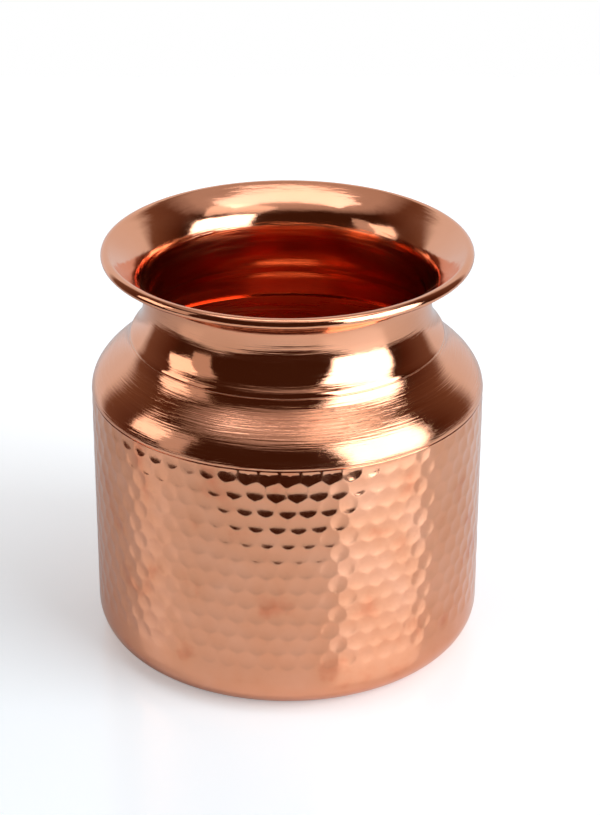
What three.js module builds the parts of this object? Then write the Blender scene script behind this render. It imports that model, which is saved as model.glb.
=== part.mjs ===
// A copper lota, the small round water vessel of the Indian subcontinent.
// It is made from three shells of sheet copper: a hammered cup, a spun shoulder
// and a spun neck whose mouth is rolled over a wire. Each shell laps over the
// next one down, and a bead of brazing fills the seam.
// Millimetres, +Z up. The axis of the vessel is Z and it stands on z = 0.

import * as THREE from "three";

// Sheet, seams and clearances
const SHEET = 0.8;
const RIM_SHEET = 0.5;
const SEAM_GAP = 0.4;

// Cup: the hammered lower part
const BODY_RADIUS = 55;
const BODY_HEIGHT = 75.4;
const FOOT_FILLET = 9.8;
const FOOT_RING_WIDTH = 6;
const FOOT_DISH = 1.5;
const FOOT_DISH_EDGE = 6;

// Hammer marks: staggered rows of shallow six-sided dimples round the cup
const MARKS_ROUND = 62;
const MARK_ROWS = 12;
const MARK_DEPTH = 0.3;
const MARK_DEPTH_SCATTER = 0.2;
const MARK_DRIFT = 0.3;
const PLAIN_BAND_BELOW = 5;
const PLAIN_BAND_ABOVE = 1.7;

// Brazed seams: the bead fills the joint and stands a little proud of the sheets
const BEAD_RADIUS = 0.35;
const BEAD_PROUD = 0.15;

// Shoulder: a roll above the cup's seam, then a cove up to the neck's seam
const SHOULDER_RISE = 15.7;
const SHOULDER_ROLL = 7;
const SHOULDER_COVE = 4.5;
const SHOULDER_COVE_SLOPE = THREE.MathUtils.degToRad(74);
const SHOULDER_LAP = 3.2;

// Neck, throat and mouth
const NECK_FOOT_RADIUS = 43.9;
const NECK_FOOT_ROUNDING = 1.2;
const NECK_LAP = 2.4;
const NECK_LEDGE_CHAMFER = 0.3;
const THROAT_RADIUS = 40.25;
const THROAT_RISE = 12.4;
const THROAT_LEAN = THREE.MathUtils.degToRad(8);
const THROAT_FULLNESS = 9.5;
const FLARE_RISE = 13.4;
const FLARE_BEND = 8;
const FLARE_REACH = 12.2;
const FLARE_SLOPE = THREE.MathUtils.degToRad(41);
const RIM_RADIUS = 51.3;
const RIM_WIRE_RADIUS = 0.6;
const RIM_CURL_TURN = THREE.MathUtils.degToRad(285);

// Facets round the axis, and along the curves of the outlines
const CUP_SEGMENTS = MARKS_ROUND;
const SPUN_SEGMENTS = 50;
const FILLET_STEPS = 5;
const SHOULDER_STEPS = 6;
const LAP_STEPS = 2;
const BELL_STEPS = 4;
const FLARE_STEPS = 5;
const CURL_STEPS = 6;
const WIRE_SIDES = 5;

// Numbers that stir the repeatable scatter of the hammer marks
const SCATTER_REACH = 43758.5453;
const SCATTER_ROW_STEP = 12.9898;
const SCATTER_COLUMN_STEP = 78.233;

// Heights and radii that follow from the sizes above
const seamHalf = BEAD_RADIUS + SEAM_GAP;
const bodySeam = BODY_HEIGHT;
const cupTop = bodySeam - seamHalf;
const shoulderFoot = bodySeam + seamHalf;
const neckSeam = bodySeam + SHOULDER_RISE;
const neckFoot = neckSeam + seamHalf;
const throatHeight = neckSeam + THROAT_RISE;
const rimTop = throatHeight + FLARE_RISE;
const curlInside = RIM_WIRE_RADIUS + SEAM_GAP;
const rimBead = curlInside + RIM_SHEET;
const wireCentre = new THREE.Vector2(RIM_RADIUS - rimBead, rimTop - rimBead);
const lapOffset = SHEET + SEAM_GAP;

// Outlines are points of (radius, height), followed upward on the outside

function point(radius, height) {
  return new THREE.Vector2(radius, height);
}

// Outer line of the shoulder: up from the cup's seam, over the roll, then up the
// cove, where it stops short of the neck's seam
function shoulderLine() {
  const upCove = point(-Math.cos(SHOULDER_COVE_SLOPE), Math.sin(SHOULDER_COVE_SLOPE));
  const foot = point(BODY_RADIUS, shoulderFoot);
  const top = point(NECK_FOOT_RADIUS, neckSeam).addScaledVector(upCove, -seamHalf);
  const overRoll = foot.clone().add(point(0, SHOULDER_ROLL));
  const beforeTop = top.clone().addScaledVector(upCove, -SHOULDER_COVE);
  return new THREE.CubicBezierCurve(foot, overRoll, beforeTop, top);
}

// Point of the throat, where bell and flare meet, moved by this length along the lean
function alongThroat(length) {
  const upThroat = point(Math.sin(THROAT_LEAN), Math.cos(THROAT_LEAN));
  return point(THROAT_RADIUS, throatHeight).addScaledVector(upThroat, length);
}

// Outer line of the neck's bell, from its rounded foot past the waist to the throat
function bellLine() {
  const foot = point(NECK_FOOT_RADIUS, neckFoot);
  const aboveFoot = foot.clone().add(point(0, NECK_FOOT_ROUNDING));
  return new THREE.CubicBezierCurve(foot, aboveFoot, alongThroat(-THROAT_FULLNESS), alongThroat(0));
}

// Outer line of the flare, from the throat up to where the sheet meets the wire
function flareLine() {
  const along = point(Math.cos(FLARE_SLOPE), Math.sin(FLARE_SLOPE));
  const lip = curlPoint(0);
  const beforeLip = lip.clone().addScaledVector(along, -FLARE_REACH);
  return new THREE.CubicBezierCurve(alongThroat(0), alongThroat(FLARE_BEND), beforeLip, lip);
}

// Point on the inside of the rolled rim, after turning by this angle round the wire
function curlPoint(turned) {
  const angle = FLARE_SLOPE + Math.PI / 2 - turned;
  const spoke = point(Math.cos(angle), Math.sin(angle));
  return wireCentre.clone().addScaledVector(spoke, curlInside);
}

// The line moved to its left by a distance that may vary from point to point
function offsetLine(line, distanceAt) {
  return line.map((here, i) => {
    const before = line[Math.max(i - 1, 0)];
    const after = line[Math.min(i + 1, line.length - 1)];
    const along = after.clone().sub(before).normalize();
    const left = point(-along.y, along.x);
    return here.clone().addScaledVector(left, distanceAt(i));
  });
}

// First stretch of a curve, by length, as points
function startOfCurve(curve, length) {
  const share = Math.min(length / curve.getLength(), 1);
  return Array.from({ length: LAP_STEPS + 1 }, (_, i) => curve.getPointAt((share * i) / LAP_STEPS));
}

// Closed outline of a sheet that has this line as its outside
function sheetOutline(line, thicknessAt) {
  const inside = offsetLine(line, thicknessAt).reverse();
  return [...line, ...inside, line[0]];
}

// Closed outline of a round wire or bead
function roundOutline(centre, radius) {
  const outline = [];
  for (let i = 0; i <= WIRE_SIDES; i += 1) {
    const angle = (2 * Math.PI * (i % WIRE_SIDES)) / WIRE_SIDES;
    outline.push(point(centre.x + radius * Math.cos(angle), centre.y + radius * Math.sin(angle)));
  }
  return outline;
}

function copper(colour, roughness) {
  return new THREE.MeshStandardMaterial({ color: colour, roughness, metalness: 1 });
}

// A body of revolution about Z
function turnedPiece(name, outline, material) {
  const geometry = new THREE.LatheGeometry(outline, SPUN_SEGMENTS);
  geometry.rotateX(Math.PI / 2);
  const mesh = new THREE.Mesh(geometry, material);
  mesh.name = name;
  return mesh;
}

// Underside of the cup from the centre out, then the foot fillet up to the wall
function footLine() {
  const ringOuter = BODY_RADIUS - FOOT_FILLET;
  const ringInner = ringOuter - FOOT_RING_WIDTH;
  const dishInner = ringInner - FOOT_DISH_EDGE;
  const line = [point(0, FOOT_DISH), point(dishInner, FOOT_DISH)];
  line.push(point(ringInner - FOOT_DISH_EDGE / 2, FOOT_DISH / 2));
  line.push(point(ringInner, 0));
  for (let i = 0; i <= FILLET_STEPS; i += 1) {
    const angle = ((i / FILLET_STEPS) * Math.PI) / 2;
    line.push(point(ringOuter + FOOT_FILLET * Math.sin(angle), FOOT_FILLET * (1 - Math.cos(angle))));
  }
  return line;
}

// Repeatable scatter between -1 and 1, so that no two hammer marks are quite alike
function scatter(row, column) {
  const wave = SCATTER_REACH * Math.sin(row * SCATTER_ROW_STEP + column * SCATTER_COLUMN_STEP);
  return 2 * (wave - Math.floor(wave)) - 1;
}

// Vertices and faces of a surface that is built up ring by ring round Z
class RingSurface {
  constructor() {
    this.positions = [];
    this.faces = [];
  }

  // Turn is a share of a full turn
  vertex(radius, height, turn) {
    const angle = 2 * Math.PI * turn;
    this.positions.push(radius * Math.sin(angle), -radius * Math.cos(angle), height);
    return this.positions.length / 3 - 1;
  }

  ring(place) {
    return Array.from({ length: CUP_SEGMENTS }, (_, i) => this.vertex(place.x, place.y, i / CUP_SEGMENTS));
  }

  // Two rings with a vertex for each segment
  bridge(lower, upper) {
    lower.forEach((a, i) => {
      const next = (i + 1) % CUP_SEGMENTS;
      this.faces.push(a, lower[next], upper[i], upper[next], upper[i], lower[next]);
    });
  }

  // A fan between a ring and a point on the axis
  cap(pole, ring, poleFirst) {
    ring.forEach((a, i) => {
      const b = ring[(i + 1) % CUP_SEGMENTS];
      this.faces.push(...(poleFirst ? [pole, b, a] : [a, b, pole]));
    });
  }

  // A ring with a vertex for each segment, below one with two for each segment
  bridgeToDouble(lower, upper) {
    lower.forEach((a, i) => {
      const b = lower[(i + 1) % CUP_SEGMENTS];
      const [left, middle, right] = [0, 1, 2].map((k) => upper[(2 * i + k) % upper.length]);
      this.faces.push(a, middle, left, a, b, middle, b, right, middle);
    });
  }

  // A ring with two vertices for each segment, below one with one for each segment
  bridgeFromDouble(lower, upper) {
    upper.forEach((a, i) => {
      const b = upper[(i + 1) % CUP_SEGMENTS];
      const [left, middle, right] = [0, 1, 2].map((k) => lower[(2 * i + k) % lower.length]);
      this.faces.push(left, middle, a, a, middle, b, middle, right, b);
    });
  }

  geometry() {
    const geometry = new THREE.BufferGeometry();
    geometry.setAttribute("position", new THREE.Float32BufferAttribute(this.positions, 3));
    geometry.setIndex(this.faces);
    geometry.computeVertexNormals();
    return geometry;
  }
}

// The hammered wall: rows of six-sided dimples, each row half a mark round from
// the last. Between two rows runs a zigzag ridge that both rows share. The upper
// and lower tips of a mark lie two thirds of the row pitch from its middle.
function addHammeredWall(surface, bottom, top) {
  const rowPitch = (top - bottom) / (MARK_ROWS + 1 / 3);
  const tipRise = (rowPitch * 2) / 3;
  const halfSteps = 2 * MARKS_ROUND;
  const ridges = [];
  for (let ridge = 0; ridge <= MARK_ROWS; ridge += 1) {
    const base = bottom + tipRise + (ridge - 1) * rowPitch;
    const atEdge = ridge === 0 || ridge === MARK_ROWS;
    const drift = atEdge ? 0 : MARK_DRIFT;
    const vertices = [];
    for (let step = 0; step < halfSteps; step += 1) {
      const raised = (step + ridge) % 2 === 1;
      const height = base + (raised ? tipRise : tipRise / 2) + drift * scatter(ridge, step);
      vertices.push(surface.vertex(BODY_RADIUS, height, step / halfSteps));
    }
    ridges.push(vertices);
  }
  for (let row = 0; row < MARK_ROWS; row += 1) {
    const [below, above] = [ridges[row], ridges[row + 1]];
    for (let mark = 0; mark < MARKS_ROUND; mark += 1) {
      const step = 2 * mark + (row % 2);
      const left = (step + halfSteps - 1) % halfSteps;
      const right = (step + 1) % halfSteps;
      const depth = MARK_DEPTH * (1 + MARK_DEPTH_SCATTER * scatter(mark, row));
      const height = bottom + tipRise + row * rowPitch + MARK_DRIFT * scatter(-row, mark);
      const centre = surface.vertex(BODY_RADIUS - depth, height, step / halfSteps);
      const edge = [below[step], below[right], above[right], above[step], above[left], below[left]];
      edge.forEach((corner, i) => surface.faces.push(centre, corner, edge[(i + 1) % edge.length]));
    }
  }
  return [ridges[0], ridges[MARK_ROWS]];
}

// The cup: dished foot, hammered wall, and a lip stepped in to fit inside the shoulder
function hammeredBody() {
  const surface = new RingSurface();
  const foot = footLine();
  const footInside = offsetLine(foot, () => SHEET);
  const marksBottom = FOOT_FILLET + PLAIN_BAND_BELOW;
  const marksTop = cupTop - PLAIN_BAND_ABOVE;
  const lip = offsetLine(startOfCurve(shoulderLine(), SHOULDER_LAP), () => lapOffset);
  const lipFoot = point(lip[0].x, cupTop);
  const insideWall = BODY_RADIUS - SHEET;
  const insideLip = lip[0].x - SHEET;

  const outsideRings = foot.slice(1).map((place) => surface.ring(place));
  surface.cap(surface.vertex(0, FOOT_DISH, 0), outsideRings[0], true);
  outsideRings.slice(1).forEach((ring, i) => surface.bridge(outsideRings[i], ring));
  const [firstRidge, lastRidge] = addHammeredWall(surface, marksBottom, marksTop);
  surface.bridgeToDouble(outsideRings.at(-1), firstRidge);

  const above = [
    point(BODY_RADIUS, cupTop),
    lipFoot,
    ...lip,
    ...offsetLine(lip, () => SHEET).reverse(),
    point(insideLip, cupTop - SHEET),
    point(insideWall, cupTop - 2 * SHEET),
    point(insideWall, (cupTop + FOOT_FILLET) / 2),
    ...footInside.slice(1).reverse(),
  ];
  const aboveRings = above.map((place) => surface.ring(place));
  surface.bridgeFromDouble(lastRidge, aboveRings[0]);
  aboveRings.slice(1).forEach((ring, i) => surface.bridge(aboveRings[i], ring));
  surface.cap(surface.vertex(0, FOOT_DISH + SHEET, 0), aboveRings.at(-1), false);

  const mesh = new THREE.Mesh(surface.geometry(), copper(0xc98a63, 0.34));
  mesh.name = "hammered_body";
  return mesh;
}

// The shoulder: a skirt over the cup's lip, the roll and cove, a narrow ledge under
// the foot of the neck, and a collar that stands up inside it
function shoulder() {
  const curve = shoulderLine();
  const collar = offsetLine(startOfCurve(bellLine(), NECK_LAP), () => lapOffset);
  const ledge = point(collar[0].x + NECK_LEDGE_CHAMFER, curve.v3.y);
  const line = [...curve.getPoints(SHOULDER_STEPS), ledge, ...collar];
  return turnedPiece("shoulder", sheetOutline(line, () => SHEET), copper(0xb87050, 0.16));
}

// The neck: bell, throat and flare, then the mouth rolled outward over its wire
function neckAndMouth() {
  const bell = bellLine().getPoints(BELL_STEPS);
  const flare = flareLine().getPoints(FLARE_STEPS);
  const line = [...bell, ...flare.slice(1)];
  for (let i = 1; i <= CURL_STEPS; i += 1) {
    line.push(curlPoint((RIM_CURL_TURN * i) / CURL_STEPS));
  }
  const thicknessAt = (i) => {
    const share = THREE.MathUtils.clamp((i - BELL_STEPS) / FLARE_STEPS, 0, 1);
    return THREE.MathUtils.lerp(SHEET, RIM_SHEET, share);
  };
  return turnedPiece("neck_and_mouth", sheetOutline(line, thicknessAt), copper(0xc07a58, 0.14));
}

// The wire that the mouth is rolled over
function rimWire() {
  return turnedPiece("rim_wire", roundOutline(wireCentre, RIM_WIRE_RADIUS), copper(0xa86a48, 0.4));
}

// Brazing in a seam, where the outside of the sheets has this radius
function brazedBead(name, radius, height) {
  const centre = point(radius + BEAD_PROUD - BEAD_RADIUS, height);
  return turnedPiece(name, roundOutline(centre, BEAD_RADIUS), copper(0xd09a70, 0.22));
}

const lota = new THREE.Group();
lota.add(hammeredBody(), shoulder(), neckAndMouth(), rimWire());
lota.add(brazedBead("shoulder_braze", BODY_RADIUS, bodySeam));
lota.add(brazedBead("neck_braze", NECK_FOOT_RADIUS, neckSeam));

export default lota;
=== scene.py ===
import math
import bpy
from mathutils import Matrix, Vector, noise
from mathutils.geometry import interpolate_bezier


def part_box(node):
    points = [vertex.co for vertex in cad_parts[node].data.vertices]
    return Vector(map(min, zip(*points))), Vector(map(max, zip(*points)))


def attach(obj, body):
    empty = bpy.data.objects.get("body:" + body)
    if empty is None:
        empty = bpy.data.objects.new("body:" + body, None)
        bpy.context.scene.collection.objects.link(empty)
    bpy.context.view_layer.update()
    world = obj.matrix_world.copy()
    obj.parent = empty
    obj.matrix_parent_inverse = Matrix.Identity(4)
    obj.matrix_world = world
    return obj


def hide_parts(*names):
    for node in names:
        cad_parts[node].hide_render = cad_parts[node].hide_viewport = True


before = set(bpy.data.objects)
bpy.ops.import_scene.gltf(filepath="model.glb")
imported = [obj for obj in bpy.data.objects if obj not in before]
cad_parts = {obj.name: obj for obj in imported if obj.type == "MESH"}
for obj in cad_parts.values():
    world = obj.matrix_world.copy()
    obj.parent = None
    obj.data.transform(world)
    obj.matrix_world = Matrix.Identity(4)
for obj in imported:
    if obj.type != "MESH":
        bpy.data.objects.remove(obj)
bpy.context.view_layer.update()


# Hammered cup
# The lower two thirds of the lota: one sheet of copper drawn into a cup with a flat foot
# and a round bottom edge. Its wall is planished with staggered rows of round-faced hammer
# blows, and its upper edge is stepped in to fit under the shoulder.

MM = 0.001
TOUCHING = 0.005 * MM
NEAR = 0.02 * MM
SMOOTH_ANGLE = math.radians(40)
SHEET = 0.8 * MM
EDGE_ROUNDING = ((0, 0.12 * MM), (0.04 * MM, 0.03 * MM), (0.14 * MM, 0))
BODY_RADIUS = 55 * MM
BODY_SEAM = 75.4 * MM
SEAM_HALF = 0.16 * MM
LIP_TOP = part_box("hammered_body")[1][2]
LIP_STEP = 0.9 * MM
LIP_STEP_RISE = 0.05 * MM
LIP_STRAIGHT = 1.2 * MM
LIP_LEAD = 0.5 * MM
FOOT_FILLET = 9.8 * MM
FOOT_FILLET_STEPS = 14
FOOT_RING_INNER = 39.2 * MM
FOOT_DISH_INNER = 33.2 * MM
FOOT_DISH = 1.5 * MM
FOOT_DISH_STEPS = 8
PLAIN_BELOW_MARKS = 1.2 * MM
OUTSIDE_DEPTH = 0.5 * MM
LINING_DEPTH = 0.6 * MM
MARKS_ROUND = 62
MARK_ROWS = 13
ROW_PITCH = 4.75 * MM
FIRST_ROW = 16.8 * MM
MARKS_TOP = 75.0 * MM
MARK_CURVE = 0.025 / MM
MARK_RADIUS = 2.72 * MM
MARK_RIM = 0.11
MARK_RINGS = (0.15, 0.25, 0.25)
MARK_SCATTER = 0.4 * MM
SCATTER_SIZE = 3.5 * MM
ROW_SLIP = 1.6 * MM
ROW_SLIP_SIZE = 6 * MM
FORCE_SCATTER = 0.16
FORCE_SIZE = 2.3 * MM
TOP_EDGE = 0.2 * MM
TOP_LEAN_FROM = 71.4 * MM
TOP_LEAN = 0.11 * MM
CUP_STEPS = 4 * MARKS_ROUND
STREAK_SCALE = 1300
STREAK_DRAW = 0.05


def arc(centre, radius, start, end, steps):
    """Points of (radius, height) on an arc, with its angles in degrees from outward."""
    middle, height = centre
    angles = [math.radians(start + (end - start) * i / steps) for i in range(steps + 1)]
    return [(middle + radius * math.cos(a), height + radius * math.sin(a)) for a in angles]


def bend(start, start_handle, end_handle, end, steps):
    """Points of (radius, height) on a curve with two handles."""
    knots = [Vector((p[0], 0, p[1])) for p in (start, start_handle, end_handle, end)]
    return [(p.x, p.z) for p in interpolate_bezier(*knots, steps + 1)]


def offset(line, distances):
    """The line moved to its left, toward the axis where the line climbs."""
    moved = []
    for i, (radius, height) in enumerate(line):
        before = line[max(i - 1, 0)]
        after = line[min(i + 1, len(line) - 1)]
        along = Vector((after[0] - before[0], after[1] - before[1])).normalized()
        moved.append((radius - along.y * distances[i], height + along.x * distances[i]))
    return moved


def draw_line(name, points):
    """A new mesh object, left in edit mode, that holds this line as edges in the XZ plane."""
    bpy.ops.object.select_all(action="DESELECT")
    bpy.ops.mesh.primitive_plane_add(size=MM)
    piece = bpy.context.object
    piece.name = name
    bpy.ops.object.mode_set(mode="EDIT")
    bpy.ops.mesh.select_mode(type="VERT")
    bpy.ops.mesh.select_all(action="SELECT")
    bpy.ops.mesh.merge(type="CENTER")
    bpy.ops.transform.translate(value=(points[0][0], 0, points[0][1]))
    for (radius, height), (next_radius, next_height) in zip(points, points[1:]):
        step = (next_radius - radius, 0, next_height - height)
        bpy.ops.mesh.extrude_vertices_move(TRANSFORM_OT_translate={"value": step})
    return piece


def spin_round(steps):
    """Turns everything in the mesh being edited into a surface round Z."""
    bpy.ops.mesh.select_all(action="SELECT")
    bpy.ops.mesh.spin(steps=steps, angle=math.tau, center=(0, 0, 0), axis=(0, 0, 1))
    bpy.ops.mesh.select_all(action="SELECT")
    bpy.ops.mesh.remove_doubles(threshold=TOUCHING)


def finish_mesh():
    """Faces outward, smooth, and back in object mode."""
    bpy.ops.mesh.select_all(action="SELECT")
    bpy.ops.mesh.normals_make_consistent(inside=False)
    bpy.ops.object.mode_set(mode="OBJECT")
    bpy.ops.object.shade_smooth_by_angle(angle=SMOOTH_ANGLE)


def join_pieces(main, others):
    bpy.ops.object.select_all(action="DESELECT")
    for piece in others:
        piece.select_set(True)
    main.select_set(True)
    bpy.context.view_layer.objects.active = main
    bpy.ops.object.join()
    return main


def select_open_edges(mesh, low, high, least_radius):
    """Selects the open edges that lie between these heights and outside this radius."""
    bpy.ops.mesh.select_mode(type="EDGE")
    bpy.ops.mesh.select_all(action="SELECT")
    bpy.ops.mesh.region_to_loop()
    bpy.ops.object.mode_set(mode="OBJECT")
    for edge in mesh.edges:
        if edge.select:
            start, end = (mesh.vertices[i].co for i in edge.vertices)
            middle = (start + end) / 2
            edge.select = low < middle.z < high and middle.xy.length > least_radius
    bpy.ops.object.mode_set(mode="EDIT")


# The field of hammer marks starts flat, as one six-sided cell that is copied along X and Z,
# and is then rolled round the axis. The rings in a cell are round, like the hammer's face.
mark_pitch = math.tau * BODY_RADIUS / MARKS_ROUND
mark_tip = ROW_PITCH / 1.5
marks_bottom = FIRST_ROW - mark_tip


def flat_marks():
    bpy.ops.object.select_all(action="DESELECT")
    bpy.ops.mesh.primitive_circle_add(vertices=6, radius=mark_tip, fill_type="NGON")
    field = bpy.context.object
    field.name = "hammered_wall"
    bpy.ops.object.mode_set(mode="EDIT")
    bpy.ops.mesh.select_all(action="SELECT")
    bpy.ops.transform.rotate(value=math.pi / 2, orient_axis="X", center_override=(0, 0, 0))
    bpy.ops.mesh.select_mode(type="EDGE")
    bpy.ops.mesh.subdivide(number_cuts=2)
    bpy.ops.mesh.select_mode(type="FACE")
    bpy.ops.mesh.select_all(action="SELECT")
    half_width = 0.87 * mark_tip
    bpy.ops.mesh.inset(thickness=MARK_RIM * half_width, use_even_offset=True)
    bpy.ops.transform.tosphere(value=1)
    for ring in MARK_RINGS:
        bpy.ops.mesh.inset(thickness=ring * half_width, use_even_offset=True)
    bpy.ops.mesh.poke()
    bpy.ops.mesh.select_all(action="SELECT")
    width_fit = mark_pitch / (mark_tip * math.sqrt(3))
    bpy.ops.transform.resize(value=(width_fit, 1, 1), center_override=(0, 0, 0))
    bpy.ops.transform.translate(value=(0, 0, FIRST_ROW))
    second_row = {"value": (mark_pitch / 2, 0, ROW_PITCH)}
    bpy.ops.mesh.duplicate_move(TRANSFORM_OT_translate=second_row)
    bpy.ops.object.mode_set(mode="OBJECT")
    row_pairs = (MARK_ROWS + 1) // 2
    copies = ((MARKS_ROUND, (mark_pitch, 0, 0)), (row_pairs, (0, 0, 2 * ROW_PITCH)))
    for count, shift in copies:
        rows = field.modifiers.new("rows", "ARRAY")
        rows.count = count
        rows.use_relative_offset = False
        rows.use_constant_offset = True
        rows.constant_offset_displace = shift
        bpy.ops.object.modifier_apply(modifier=rows.name)
    bpy.ops.object.mode_set(mode="EDIT")
    bpy.ops.mesh.select_all(action="SELECT")
    bpy.ops.mesh.remove_doubles(threshold=NEAR)
    bpy.ops.mesh.select_all(action="SELECT")
    bpy.ops.mesh.bisect(plane_co=(0, 0, MARKS_TOP), plane_no=(0, 0, 1), clear_outer=True)
    bpy.ops.object.mode_set(mode="OBJECT")
    return field


def on_wall(along, height):
    """The point of the plain wall at this distance round and this height."""
    turn = along / BODY_RADIUS
    return Vector((BODY_RADIUS * math.sin(turn), -BODY_RADIUS * math.cos(turn), height))


def drift(along, height):
    """How far a blow at this place landed from its row, along and up."""
    where = on_wall(along, height) / SCATTER_SIZE
    elsewhere = where + Vector((31, 17, 5))
    fade = min(height - marks_bottom, 3 * (MARKS_TOP - height)) / ROW_PITCH
    fade = max(0, min(fade, 1)) * MARK_SCATTER
    row_slip = ROW_SLIP * noise.noise(Vector((0, 0, height / ROW_SLIP_SIZE)))
    return row_slip + fade * noise.noise(where), fade * noise.noise(elsewhere)


marks = {}
for row in range(MARK_ROWS):
    for column in range(MARKS_ROUND):
        along = (column + 0.5 * (row % 2)) * mark_pitch
        height = FIRST_ROW + row * ROW_PITCH
        shift_along, shift_up = drift(along, height)
        where = on_wall(along, height) / FORCE_SIZE + Vector((7, 3, 9))
        force = 1 + FORCE_SCATTER * noise.noise(where)
        marks[row, column] = (along + shift_along, height + shift_up, force)


def mark_depth(along, height):
    """How far in the sheet is here: the deepest of the shallow round bowls that the blows
    leave, and the wall's lean toward the seam. Above their middles the top row's bowls run
    straight up to the seam."""
    row = round((height - FIRST_ROW) / ROW_PITCH)
    deepest = 0
    for near_row in range(max(row - 1, 0), min(row + 2, MARK_ROWS)):
        column = round(along / mark_pitch - 0.5 * (near_row % 2))
        for near_column in (column - 1, column, column + 1):
            centre, middle, force = marks[near_row, near_column % MARKS_ROUND]
            centre += (near_column // MARKS_ROUND) * MARKS_ROUND * mark_pitch
            if near_row == MARK_ROWS - 1:
                middle = max(middle, height)
            reach = (along - centre) ** 2 + (height - middle) ** 2
            deepest = max(deepest, MARK_CURVE * (force * MARK_RADIUS**2 - reach))
    top = max(0, (height - TOP_LEAN_FROM) / (MARKS_TOP - TOP_LEAN_FROM))
    return deepest * min((MARKS_TOP - height) / TOP_EDGE, 1) + TOP_LEAN * top * top


def hammer(field):
    for vertex in field.data.vertices:
        along, height = vertex.co.x, vertex.co.z
        shift_along, shift_up = drift(along, height)
        along += shift_along
        height += shift_up
        place = on_wall(along, height)
        inward = 1 - mark_depth(along, height) / BODY_RADIUS
        vertex.co = (place.x * inward, place.y * inward, place.z)


wall = flat_marks()
hammer(wall)


def rounded_edge(radius, height, side):
    """Points round a sheet's edge, from its outside in. Side is 1 where the sheet is above."""
    return [(radius - inward, height + side * away) for inward, away in EDGE_ROUNDING]


foot_corner = (BODY_RADIUS - FOOT_FILLET, FOOT_FILLET)
foot_line = [(0, FOOT_DISH), (FOOT_DISH_INNER * 0.5, FOOT_DISH)]
dish_middle = (FOOT_DISH_INNER + FOOT_RING_INNER) / 2
foot_line += bend((FOOT_DISH_INNER, FOOT_DISH), (dish_middle, FOOT_DISH), (dish_middle, 0),
                  (FOOT_RING_INNER, 0), FOOT_DISH_STEPS)
foot_line += arc(foot_corner, FOOT_FILLET, -90, 0, FOOT_FILLET_STEPS)
foot_line.append((BODY_RADIUS, marks_bottom - PLAIN_BELOW_MARKS))
floor_line = offset(foot_line[:-1], [SHEET] * (len(foot_line) - 1))
step_top = BODY_SEAM - SEAM_HALF
lip_radius = BODY_RADIUS - LIP_STEP
lip_line = rounded_edge(BODY_RADIUS - TOP_LEAN, step_top, -1) + [
    (lip_radius, step_top + LIP_STEP_RISE),
    (lip_radius, BODY_SEAM + LIP_STRAIGHT),
    (lip_radius - LIP_LEAD, LIP_TOP),
    (lip_radius - LIP_LEAD - SHEET, LIP_TOP),
    (lip_radius - SHEET, BODY_SEAM + LIP_STRAIGHT),
    (lip_radius - SHEET, step_top - SHEET),
    (BODY_RADIUS - SHEET, step_top - 2 * SHEET),
    (BODY_RADIUS - SHEET, BODY_SEAM / 2),
]

foot = draw_line("foot_of_cup", foot_line)
spin_round(CUP_STEPS)
bpy.ops.object.mode_set(mode="OBJECT")
lining = draw_line("lining_of_cup", lip_line + floor_line[::-1])
spin_round(CUP_STEPS)
bpy.ops.object.mode_set(mode="OBJECT")
cup = join_pieces(wall, [foot, lining])
cup.name = "hammered_cup"
bpy.ops.object.mode_set(mode="EDIT")
bpy.ops.mesh.select_all(action="SELECT")
bpy.ops.mesh.remove_doubles(threshold=NEAR)
foot_joint = (marks_bottom - 2 * MM, marks_bottom + mark_tip)
lip_joint = (MARKS_TOP - mark_tip, MARKS_TOP + 1 * MM)
for low, high in (foot_joint, lip_joint):
    select_open_edges(cup.data, low, high, BODY_RADIUS - OUTSIDE_DEPTH)
    bpy.ops.mesh.bridge_edge_loops()
finish_mesh()


def node(tree, kind, **settings):
    made = tree.nodes.new(kind)
    for name, value in settings.items():
        setattr(made, name, value)
    return made


def link(tree, source, target):
    tree.links.new(source, target)


def new_material(name):
    made = bpy.data.materials.new(name)
    made.use_nodes = True
    return made, made.node_tree, made.node_tree.nodes["Principled BSDF"]


def noise_at(tree, coordinates, scale, detail):
    made = node(tree, "ShaderNodeTexNoise")
    made.inputs["Scale"].default_value = scale
    made.inputs["Detail"].default_value = detail
    link(tree, coordinates, made.inputs["Vector"])
    return made.outputs["Fac"]


def grey(value):
    return (value, value, value)


def ramp(tree, factor, stops):
    made = node(tree, "ShaderNodeValToRGB")
    band = made.color_ramp
    for i, (position, colour) in enumerate(stops):
        stop = band.elements[i] if i < 2 else band.elements.new(position)
        stop.position = position
        stop.color = (*colour, 1)
    link(tree, factor, made.inputs["Fac"])
    return made.outputs["Color"]


def bump(tree, height, shader, strength, distance):
    made = node(tree, "ShaderNodeBump")
    made.inputs["Strength"].default_value = strength
    made.inputs["Distance"].default_value = distance
    link(tree, height, made.inputs["Height"])
    link(tree, made.outputs["Normal"], shader.inputs["Normal"])


def hammered_copper():
    made, tree, shader = new_material("hammered_copper")
    place = node(tree, "ShaderNodeTexCoord").outputs["Object"]
    blotches = noise_at(tree, place, scale=85, detail=8)
    tarnished, plain, bright = (0.8, 0.28, 0.145), (0.88, 0.385, 0.215), (0.92, 0.43, 0.26)
    tone = ramp(tree, blotches, [(0.28, tarnished), (0.42, plain), (0.7, bright)])
    link(tree, tone, shader.inputs["Base Color"])
    shader.inputs["Metallic"].default_value = 1
    grain = noise_at(tree, place, scale=900, detail=5)
    gloss = ramp(tree, grain, [(0.25, grey(0.07)), (0.75, grey(0.14))])
    link(tree, gloss, shader.inputs["Roughness"])
    bump(tree, grain, shader, strength=0.04, distance=0.1 * MM)
    return made


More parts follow.
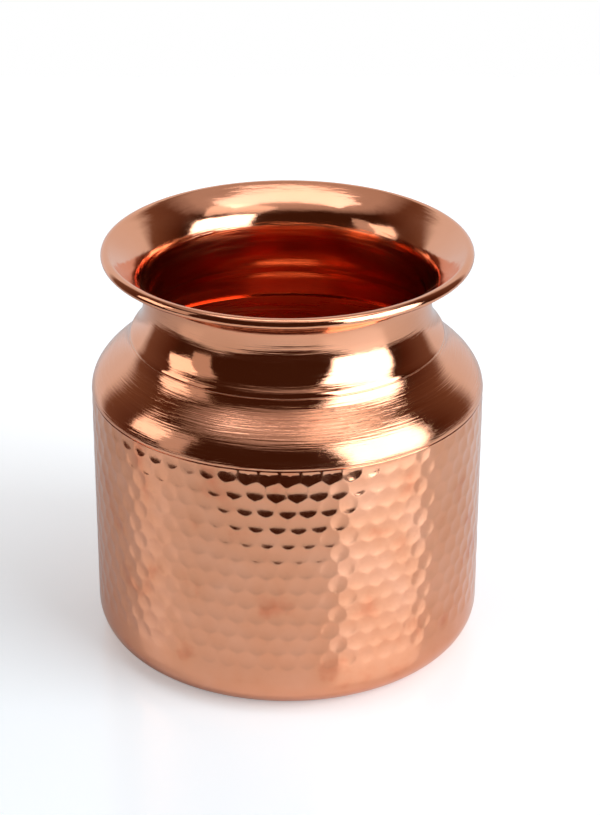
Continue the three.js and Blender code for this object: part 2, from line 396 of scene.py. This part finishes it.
def polished_copper(name, tones, gloss, streak_depth):
    """Spun and buffed metal: fine turning lines, and reflections smeared across them. The
    lines are noise that changes with height and radius and is drawn out round the axis."""
    made, tree, shader = new_material(name)
    place = node(tree, "ShaderNodeTexCoord").outputs["Object"]
    parts = node(tree, "ShaderNodeSeparateXYZ")
    link(tree, place, parts.inputs["Vector"])
    level = node(tree, "ShaderNodeVectorMath", operation="MULTIPLY")
    level.inputs[1].default_value = (1, 1, 0)
    link(tree, place, level.inputs[0])
    radius = node(tree, "ShaderNodeVectorMath", operation="LENGTH")
    link(tree, level.outputs["Vector"], radius.inputs[0])
    climb = node(tree, "ShaderNodeMath", operation="SUBTRACT")
    link(tree, parts.outputs["Z"], climb.inputs[0])
    link(tree, radius.outputs["Value"], climb.inputs[1])
    drawn = node(tree, "ShaderNodeCombineXYZ")
    link(tree, parts.outputs["X"], drawn.inputs["X"])
    link(tree, parts.outputs["Y"], drawn.inputs["Y"])
    link(tree, climb.outputs["Value"], drawn.inputs["Z"])
    stretch = node(tree, "ShaderNodeVectorMath", operation="MULTIPLY")
    stretch.inputs[1].default_value = (STREAK_DRAW, STREAK_DRAW, 1)
    link(tree, drawn.outputs["Vector"], stretch.inputs[0])
    streaks = noise_at(tree, stretch.outputs["Vector"], scale=STREAK_SCALE, detail=5)
    blotches = noise_at(tree, place, scale=45, detail=3)
    dull, bright = tones
    link(tree, ramp(tree, blotches, [(0.3, dull), (0.7, bright)]), shader.inputs["Base Color"])
    low, high = gloss
    rough = ramp(tree, streaks, [(0.3, grey(low)), (0.7, grey(high))])
    link(tree, rough, shader.inputs["Roughness"])
    shader.inputs["Metallic"].default_value = 1
    shader.inputs["Anisotropic"].default_value = 0.6
    shader.inputs["Anisotropic Rotation"].default_value = 0.25
    around = node(tree, "ShaderNodeTangent", direction_type="RADIAL", axis="Z")
    link(tree, around.outputs["Tangent"], shader.inputs["Tangent"])
    bump(tree, streaks, shader, strength=1, distance=streak_depth)
    return made


def assign_material(piece, made, is_there):
    """Adds a material to the faces whose centre and normal pass the test."""
    piece.data.materials.append(made)
    slot = len(piece.data.materials) - 1
    for face in piece.data.polygons:
        if is_there(face.center, face.normal):
            face.material_index = slot


def faces_axis(centre, normal):
    return centre.x * normal.x + centre.y * normal.y < 0


def in_cup(centre, normal):
    return faces_axis(centre, normal) and centre.xy.length < BODY_RADIUS - LINING_DEPTH


# Inside, as far up as the flare of the mouth, the copper is painted a darker, deep red: painted
# shade of the hollow and the painted red of copper reflecting copper.
lining_painted_shade = polished_copper("cup_lining_copper", ((0.72, 0.15, 0.05), (0.78, 0.2, 0.08)),
                                gloss=(0.22, 0.4), streak_depth=0.06 * MM)
cup.data.materials.append(hammered_copper())
assign_material(cup, lining_painted_shade, in_cup)
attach(cup, "root")
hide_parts("hammered_body")


# Shoulder
# A spun shell of the same sheet, polished bright. Its skirt fits over the cup's lip, it
# rolls inward to a small cove, and a collar stands up inside the foot of the neck.

SHOULDER_RISE = 15.7 * MM
SHOULDER_ROLL = 7.75 * MM
SHOULDER_LEAN = 0.35 * MM
SHOULDER_STEPS = 40
SHOULDER_COVE = 5.25 * MM
COVE_SLOPE = math.radians(74)
NECK_FOOT_RADIUS = 43.9 * MM
NECK_SEAM_HALF = 0.14 * MM
COLLAR_SHEET = 0.35 * MM
COLLAR_EDGE = 0.15 * MM
COLLAR_STRAIGHT = 0.7 * MM
COLLAR_RISE = 2.2 * MM
COLLAR_LEAD = 0.75 * MM
COVE_EDGE = 0.1 * MM
LAP_GAP = 0.06 * MM
SPUN_STEPS = 256
neck_seam = BODY_SEAM + SHOULDER_RISE


def up_cove(distance):
    """The point this far below the neck's seam, measured down the slope of the cove."""
    return (NECK_FOOT_RADIUS + distance * math.cos(COVE_SLOPE),
            neck_seam - distance * math.sin(COVE_SLOPE))


skirt_foot = BODY_SEAM + SEAM_HALF
cove_top = up_cove(NECK_SEAM_HALF)
roll_foot, *shoulder_line = rounded_edge(BODY_RADIUS, skirt_foot, 1)
shoulder_line.reverse()
roll_handle = (BODY_RADIUS - SHOULDER_LEAN, BODY_SEAM + SHOULDER_ROLL)
shoulder_line += bend(roll_foot, roll_handle, up_cove(SHOULDER_COVE),
                      up_cove(NECK_SEAM_HALF + COVE_EDGE), SHOULDER_STEPS)
collar_radius = NECK_FOOT_RADIUS - SHEET - LAP_GAP
shoulder_line += [
    (cove_top[0] - COVE_EDGE, cove_top[1]),
    (collar_radius + COLLAR_EDGE, cove_top[1]),
    (collar_radius, cove_top[1] + COLLAR_EDGE),
    (collar_radius - COLLAR_EDGE, neck_seam + COLLAR_STRAIGHT),
    (collar_radius - COLLAR_LEAD, neck_seam + COLLAR_RISE),
]
collar_sheet = [SHEET * 0.8, SHEET * 0.6, COLLAR_SHEET]
shoulder_sheet = [SHEET] * (len(shoulder_line) - len(collar_sheet)) + collar_sheet
shoulder_inside = offset(shoulder_line, shoulder_sheet)[::-1]
shoulder = draw_line("spun_shoulder", shoulder_line + shoulder_inside + shoulder_line[:1])
spin_round(SPUN_STEPS)
finish_mesh()

COPPER_TONES = ((0.89, 0.38, 0.21), (0.92, 0.42, 0.25))
bright_copper = polished_copper("polished_copper", COPPER_TONES, gloss=(0.06, 0.18),
                                streak_depth=0.11 * MM)
# Faces inside the vessel get a darker, deep red copy of the polished copper: painted shade and
# painted copper-on-copper reflection.
inside_painted_shade = polished_copper("inside_painted_shade", ((0.76, 0.17, 0.06), (0.82, 0.23, 0.09)),
                                gloss=(0.1, 0.24), streak_depth=0.08 * MM)
shoulder.data.materials.append(bright_copper)
assign_material(shoulder, inside_painted_shade, faces_axis)
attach(shoulder, "root")
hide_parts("shoulder")


# Neck and mouth
# The third shell, spun and polished: a short bell stands on the shoulder and narrows to the
# throat, then the sheet flares out and is rolled over a wire to make the rim.

NECK_FOOT_EDGE = 0.12 * MM
NECK_FOOT_ROUNDING = 1.95 * MM
BELL_STEPS = 32
THROAT_RADIUS = 40.15 * MM
THROAT_RISE = 12.4 * MM
THROAT_LEAN = math.radians(5)
THROAT_FULLNESS = 9.2 * MM
FLARE_BEND = 5.4 * MM
FLARE_REACH = 9.4 * MM
FLARE_SLOPE = 32
FLARE_STEPS = 32
RIM_SHEET = 0.5 * MM
RIM_RADIUS = 51.3 * MM
CURL_INSIDE = 1.0 * MM
CURL_TURN = 285
CURL_STEPS = 22
RIM_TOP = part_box("neck_and_mouth")[1][2]
MOUTH_DEPTH = 106.9 * MM
neck_foot = neck_seam + NECK_SEAM_HALF


def along_throat(distance):
    """The point this far above the throat, measured along its lean."""
    return (THROAT_RADIUS + distance * math.sin(THROAT_LEAN),
            neck_seam + THROAT_RISE + distance * math.cos(THROAT_LEAN))


wire_centre = (RIM_RADIUS - CURL_INSIDE - RIM_SHEET, RIM_TOP - CURL_INSIDE - RIM_SHEET)
bell = [(NECK_FOOT_RADIUS - NECK_FOOT_EDGE, neck_foot)]
bell_foot = (NECK_FOOT_RADIUS, neck_foot + NECK_FOOT_EDGE)
bell_handle = (NECK_FOOT_RADIUS, neck_seam + NECK_FOOT_ROUNDING)
bell += bend(bell_foot, bell_handle, along_throat(-THROAT_FULLNESS), along_throat(0),
             BELL_STEPS)
curl_start = FLARE_SLOPE + 90
curl = arc(wire_centre, CURL_INSIDE, curl_start, curl_start - CURL_TURN, CURL_STEPS)
slope = math.radians(FLARE_SLOPE)
edge_radius, edge_height = curl[0]
flare_handle = (edge_radius - FLARE_REACH * math.cos(slope),
                edge_height - FLARE_REACH * math.sin(slope))
flare = bend(along_throat(0), along_throat(FLARE_BEND), flare_handle, curl[0], FLARE_STEPS)
neck_line = bell + flare[1:] + curl[1:]
thins_from, thins_to = len(bell), len(bell) + len(flare) - 2
thickness = []
for i in range(len(neck_line)):
    share = min(max((i - thins_from) / (thins_to - thins_from), 0), 1)
    thickness.append(SHEET + (RIM_SHEET - SHEET) * share)
neck_inside = offset(neck_line, thickness)[::-1]
neck = draw_line("neck_and_rim", neck_line + neck_inside + neck_line[:1])
spin_round(SPUN_STEPS)
finish_mesh()


def in_flare(centre, normal):
    return faces_axis(centre, normal) and centre.z >= MOUTH_DEPTH


def below_flare(centre, normal):
    return faces_axis(centre, normal) and centre.z < MOUTH_DEPTH


neck_copper = polished_copper("neck_copper", COPPER_TONES, gloss=(0.04, 0.12),
                              streak_depth=0.05 * MM)
neck.data.materials.append(neck_copper)
assign_material(neck, bright_copper, in_flare)
# Below the flare, the inside of the neck takes that darker copy: painted shade.
assign_material(neck, inside_painted_shade, below_flare)
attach(neck, "root")
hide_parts("neck_and_mouth")


# Rim wire
# The stiff copper wire inside the rolled rim. Only the slot of the roll shows it, from
# below, so the CAD wire stays as it is with a drawn-copper finish.


def drawn_copper():
    made, tree, shader = new_material("drawn_copper")
    place = node(tree, "ShaderNodeTexCoord").outputs["Object"]
    tarnish = noise_at(tree, place, scale=300, detail=3)
    tone = ramp(tree, tarnish, [(0.3, (0.45, 0.2, 0.12)), (0.7, (0.7, 0.36, 0.22))])
    link(tree, tone, shader.inputs["Base Color"])
    shader.inputs["Metallic"].default_value = 1
    shader.inputs["Roughness"].default_value = 0.4
    bump(tree, tarnish, shader, strength=0.1, distance=0.05 * MM)
    return made


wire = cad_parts["rim_wire"]
wire.data.materials.clear()
wire.data.materials.append(drawn_copper())


# Brazed seams
# A bead of brazing fills the seam round the top of the cup, and another the seam round the
# foot of the neck. Both are filed down and polished with the vessel.

LOWER_BEAD_SUNK = 0.42 * MM
UPPER_BEAD_SUNK = 0.1 * MM
BEAD_SIDES = 12


def braze_bead(name, radius, height, thickness):
    """A ring of this radius and height, whose section has the radius thickness."""
    bpy.ops.object.select_all(action="DESELECT")
    bpy.ops.mesh.primitive_torus_add(major_radius=radius, minor_radius=thickness,
                                     major_segments=SPUN_STEPS, minor_segments=BEAD_SIDES,
                                     location=(0, 0, height))
    bead = bpy.context.object
    bead.name = name
    bpy.ops.object.transform_apply(location=True, rotation=True, scale=True)
    bpy.ops.object.mode_set(mode="EDIT")
    finish_mesh()
    return bead


bead_copper = polished_copper("brazing", ((0.9, 0.5, 0.31), (0.93, 0.56, 0.38)),
                              gloss=(0.1, 0.2), streak_depth=0.03 * MM)
lower_bead = braze_bead("shoulder_seam", BODY_RADIUS - LOWER_BEAD_SUNK, BODY_SEAM, SEAM_HALF)
upper_bead = braze_bead("neck_seam", NECK_FOOT_RADIUS - UPPER_BEAD_SUNK, neck_seam,
                        NECK_SEAM_HALF)
for bead, replaced in ((lower_bead, "shoulder_braze"), (upper_bead, "neck_braze")):
    bead.data.materials.append(bead_copper)
    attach(bead, "root")
    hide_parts(replaced)


# Floor, light and camera
# The lota stands on a white sheet that ends a hand's length in front of it, in a dark room
# with a tall window on the right, a weaker one on the left and soft light overhead.

BOARD_FRONT = -0.19
BOARD_BACK = 0.5
BOARD_LEFT = -0.22
BOARD_RIGHT = 0.3
LAMP_AIM = Vector((0, 0, 0.08))


def white_board():
    made, tree, shader = new_material("white_board")
    place = node(tree, "ShaderNodeTexCoord").outputs["Object"]
    mottle = noise_at(tree, place, scale=8, detail=2)
    tone = ramp(tree, mottle, [(0.3, grey(0.93)), (0.7, grey(0.95))])
    link(tree, tone, shader.inputs["Base Color"])
    shader.inputs["Roughness"].default_value = 0.18
    parts = node(tree, "ShaderNodeSeparateXYZ")
    link(tree, place, parts.inputs["Vector"])
    lift = ramp(tree, parts.outputs["Y"], [(0.0, grey(0.28)), (0.15, grey(0.55))])
    link(tree, lift, shader.inputs["Emission Color"])
    path = node(tree, "ShaderNodeLightPath")
    link(tree, path.outputs["Is Camera Ray"], shader.inputs["Emission Strength"])
    return made


bpy.ops.object.select_all(action="DESELECT")
bpy.ops.mesh.primitive_plane_add(size=2)
board = bpy.context.object
board.name = "floor_board"
bpy.ops.object.mode_set(mode="EDIT")
bpy.ops.mesh.select_all(action="SELECT")
board_size = ((BOARD_RIGHT - BOARD_LEFT) / 2, (BOARD_BACK - BOARD_FRONT) / 2, 1)
board_middle = ((BOARD_RIGHT + BOARD_LEFT) / 2, (BOARD_BACK + BOARD_FRONT) / 2, 0)
bpy.ops.transform.resize(value=board_size)
bpy.ops.transform.translate(value=board_middle)
bpy.ops.object.mode_set(mode="OBJECT")
board.data.materials.append(white_board())


def soft_light(name, azimuth, elevation, distance, width, height, glow, tint=(1, 1, 1)):
    """A soft box round the vessel. Azimuth 0 is the camera's side and 90 is to its right."""
    turn, tilt = math.radians(azimuth), math.radians(elevation)
    level = math.cos(tilt)
    place = Vector((math.sin(turn) * level, -math.cos(turn) * level, math.sin(tilt)))
    bpy.ops.object.light_add(type="AREA", location=LAMP_AIM + distance * place)
    lamp = bpy.context.object
    lamp.name = name
    lamp.rotation_euler = place.to_track_quat("Z", "Y").to_euler()
    lamp.data.shape = "RECTANGLE"
    lamp.data.size = width
    lamp.data.size_y = height
    lamp.data.energy = glow * math.pi * width * height
    lamp.data.color = tint


soft_light("right_window", azimuth=57, elevation=14, distance=0.9, width=0.84, height=1.12,
           glow=4.1, tint=(0.88, 1.02, 1.12))
soft_light("left_window", azimuth=-85, elevation=18, distance=0.9, width=0.34, height=0.5, glow=1.6)
soft_light("left_pane", azimuth=-66, elevation=12, distance=0.9, width=0.26, height=0.84, glow=0.5)
soft_light("overhead", azimuth=0, elevation=87, distance=1.0, width=0.9, height=0.36,
           glow=1.55, tint=(0.94, 1.02, 1.14))
soft_light("high_right", azimuth=55, elevation=62, distance=1.0, width=0.7, height=0.3, glow=0.8)

# In reflections the room is dark in front and pale behind, under a grey ceiling. The camera
# sees plain white, and all else gets a weak even light.
world = bpy.data.worlds.new("studio")
bpy.context.scene.world = world
world.use_nodes = True
sky = world.node_tree
sky.nodes.clear()
output = node(sky, "ShaderNodeOutputWorld")
direction = node(sky, "ShaderNodeSeparateXYZ")
link(sky, node(sky, "ShaderNodeTexCoord").outputs["Generated"], direction.inputs["Vector"])
room = ramp(sky, direction.outputs["Y"], [
    (0.0, (0.046, 0.018, 0.009)),
    (0.15, (0.08, 0.03, 0.016)),
    (0.55, (0.17, 0.1, 0.07)),
    (0.67, (0.74, 0.81, 0.87)),
])
wall_light = node(sky, "ShaderNodeBackground")
link(sky, room, wall_light.inputs["Color"])
ceiling_light = node(sky, "ShaderNodeBackground")
ceiling_light.inputs["Color"].default_value = (0.48, 0.45, 0.45, 1)
room_light = node(sky, "ShaderNodeMixShader")
ceiling = ramp(sky, direction.outputs["Z"], [(0.76, grey(0)), (0.86, grey(1))])
link(sky, ceiling, room_light.inputs["Fac"])
link(sky, wall_light.outputs["Background"], room_light.inputs[1])
link(sky, ceiling_light.outputs["Background"], room_light.inputs[2])
plain_light = node(sky, "ShaderNodeBackground")
plain_light.inputs["Color"].default_value = (1, 1, 1, 1)
plain_light.inputs["Strength"].default_value = 0.2
white = node(sky, "ShaderNodeBackground")
white.inputs["Color"].default_value = (1, 1, 1, 1)
path = node(sky, "ShaderNodeLightPath")
by_gloss = node(sky, "ShaderNodeMixShader")
link(sky, path.outputs["Is Glossy Ray"], by_gloss.inputs["Fac"])
link(sky, plain_light.outputs["Background"], by_gloss.inputs[1])
link(sky, room_light.outputs["Shader"], by_gloss.inputs[2])
by_camera = node(sky, "ShaderNodeMixShader")
link(sky, path.outputs["Is Camera Ray"], by_camera.inputs["Fac"])
link(sky, by_gloss.outputs["Shader"], by_camera.inputs[1])
link(sky, white.outputs["Background"], by_camera.inputs[2])
link(sky, by_camera.outputs["Shader"], output.inputs["Surface"])

# The camera stands 61 cm back and 37 cm up. The vessel's axis is a little left of centre.
CAMERA_BACK = 0.611
CAMERA_HEIGHT = 0.3667
CAMERA_PITCH = 26.11
CAMERA_LENS = 106.06
FRAME_HEIGHT = 815
AXIS_LEFT_OF_CENTRE = 12.6

bpy.ops.object.camera_add(location=(0, -CAMERA_BACK, CAMERA_HEIGHT))
camera = bpy.context.object
camera.rotation_euler = (math.radians(90 - CAMERA_PITCH), 0, 0)
camera.data.lens = CAMERA_LENS
camera.data.shift_x = AXIS_LEFT_OF_CENTRE / FRAME_HEIGHT
bpy.context.scene.camera = camera
bpy.context.scene.view_settings.view_transform = "Standard"
